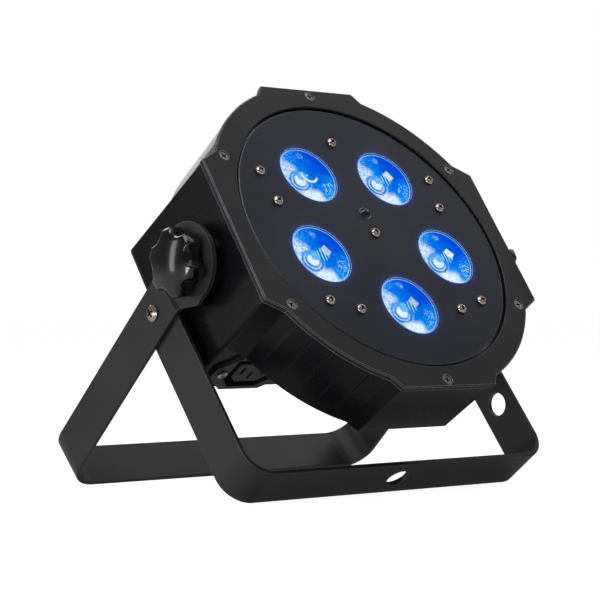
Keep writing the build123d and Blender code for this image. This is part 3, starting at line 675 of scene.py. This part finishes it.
for label, side in (("left", -1), ("right", 1)):
    along = [side * v.co.x for v in frame["nodes"][f"{label}_knob"].data.vertices]
    knob = crowned_knob(f"{label}_knob_crowned", side, min(along), max(along))
    knob.data.materials.append(MATERIALS["knob_plastic"])
    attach(knob, f"{label}_knob")
    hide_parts(f"{label}_knob")

# ---- studio -------------------------------------------------------------------------------
def soft_light(name, spot, aim, size, power):
    lamp = bpy.data.lights.new(name, "AREA")
    lamp.shape = "RECTANGLE"
    lamp.size, lamp.size_y = size
    lamp.energy = power
    thing = bpy.data.objects.new(name, lamp)
    thing.location = spot
    thing.rotation_mode = "QUATERNION"
    thing.rotation_quaternion = (Vector(aim) - Vector(spot)).to_track_quat("-Z", "Y")
    bpy.context.collection.objects.link(thing)
    return thing


def sheet_of(name, height, material):
    """A wide level sheet under the light, for the stage only."""
    mesh = bpy.data.meshes.new(name)
    corners = [(x * STAGE_HALF, y * STAGE_HALF, height) for x, y in ((-1, -1), (1, -1), (1, 1), (-1, 1))]
    mesh.from_pydata(corners, [], [(0, 1, 2, 3)])
    mesh.materials.append(material)
    piece = bpy.data.objects.new(name, mesh)
    bpy.context.collection.objects.link(piece)
    return piece


def stage_material(name, low, high, glow):
    material, tree, shader, _ = new_material(name)
    shade = noise(tree, place(tree), 3.0, 3.0)
    tree.links.new(blend_colours(tree, shade, (low,) * 3, (high,) * 3), shader.inputs["Base Color"])
    shader.inputs["Roughness"].default_value = 0.7
    shader.inputs["Specular IOR Level"].default_value = 0.1
    shader.inputs["Emission Color"].default_value = (1, 1, 1, 1)
    shader.inputs["Emission Strength"].default_value = glow
    return material


# The floor that is seen is near white; the one that lights the object from below is dimmer.
seen_floor = sheet_of("floor", 0.0, stage_material("studio_floor", 0.33, 0.35, 0.955))
seen_floor.visible_diffuse = seen_floor.visible_glossy = seen_floor.visible_transmission = False
seen_floor.visible_shadow = False
bounce_floor = sheet_of("floor_bounce", -0.0004, stage_material("studio_bounce", 0.50, 0.52, BOUNCE))
bounce_floor.visible_camera = False

middle = Vector((0, 0, 0.11))


def softbox(name, way, far, size, glow):
    """Area light of even brightness glow, out from the middle of the object."""
    spot = middle + Vector(way).normalized() * far
    return soft_light(name, spot, middle, size, glow * math.pi * size[0] * size[1])


softbox("top_left", (-0.55, -0.10, 0.83), 1.3, (0.5, 0.9), 2.4)
softbox("top_right", (0.65, -0.10, 0.80), 1.5, (1.0, 1.0), 0.8)
softbox("low_left", (-0.78, -0.10, -0.075), 0.8, (0.7, 0.12), 8.0)
softbox("overhead", (-0.12, -0.20, 1.0), 1.4, (0.5, 0.5), 2.6)
softbox("back_left", (-0.80, 0.62, 0.05), 1.4, (0.16, 0.75), 2.4)
softbox("backdrop", (0.66, 0.76, 0.12), 1.9, (1.7, 1.3), 1.5)
softbox("behind", (0.10, 0.85, 0.70), 1.7, (1.2, 0.8), 2.2)

world = bpy.data.worlds.new("studio")
world.use_nodes = True
world.node_tree.nodes["Background"].inputs["Color"].default_value = (1, 1, 1, 1)
world.node_tree.nodes["Background"].inputs["Strength"].default_value = AMBIENT
bpy.context.scene.world = world
bpy.context.scene.view_settings.view_transform = "Standard"

dome = bpy.data.meshes.new("backdrop")
maker = bmesh.new()
bmesh.ops.create_uvsphere(maker, u_segments=48, v_segments=24, radius=DOME_RADIUS)
maker.to_mesh(dome)
maker.free()
white, tree, _, out = new_material("studio_white")
glow = add(tree, "ShaderNodeEmission", Strength=1.0)
tree.links.new(glow.outputs[0], out.inputs["Surface"])
dome.materials.append(white)
backdrop = bpy.data.objects.new("backdrop", dome)
bpy.context.collection.objects.link(backdrop)
backdrop.visible_diffuse = backdrop.visible_glossy = backdrop.visible_transmission = False
backdrop.visible_shadow = False

# ---- camera -------------------------------------------------------------------------------
lens_data = bpy.data.cameras.new("camera")
lens_data.lens = FOCAL_MM
lens_data.sensor_width = 36.0
lens_data.shift_x, lens_data.shift_y = SHIFT
lens_data.clip_start, lens_data.clip_end = 0.05, 60.0
camera = bpy.data.objects.new("camera", lens_data)
camera.location = pivot + EYE_FROM_PIVOT
camera.rotation_mode = "QUATERNION"
heading = Vector((-math.sin(LOOK_AZIMUTH), math.cos(LOOK_AZIMUTH), math.tan(LOOK_RISE)))
camera.rotation_quaternion = heading.to_track_quat("-Z", "Y")
bpy.context.collection.objects.link(camera)
bpy.context.scene.camera = camera
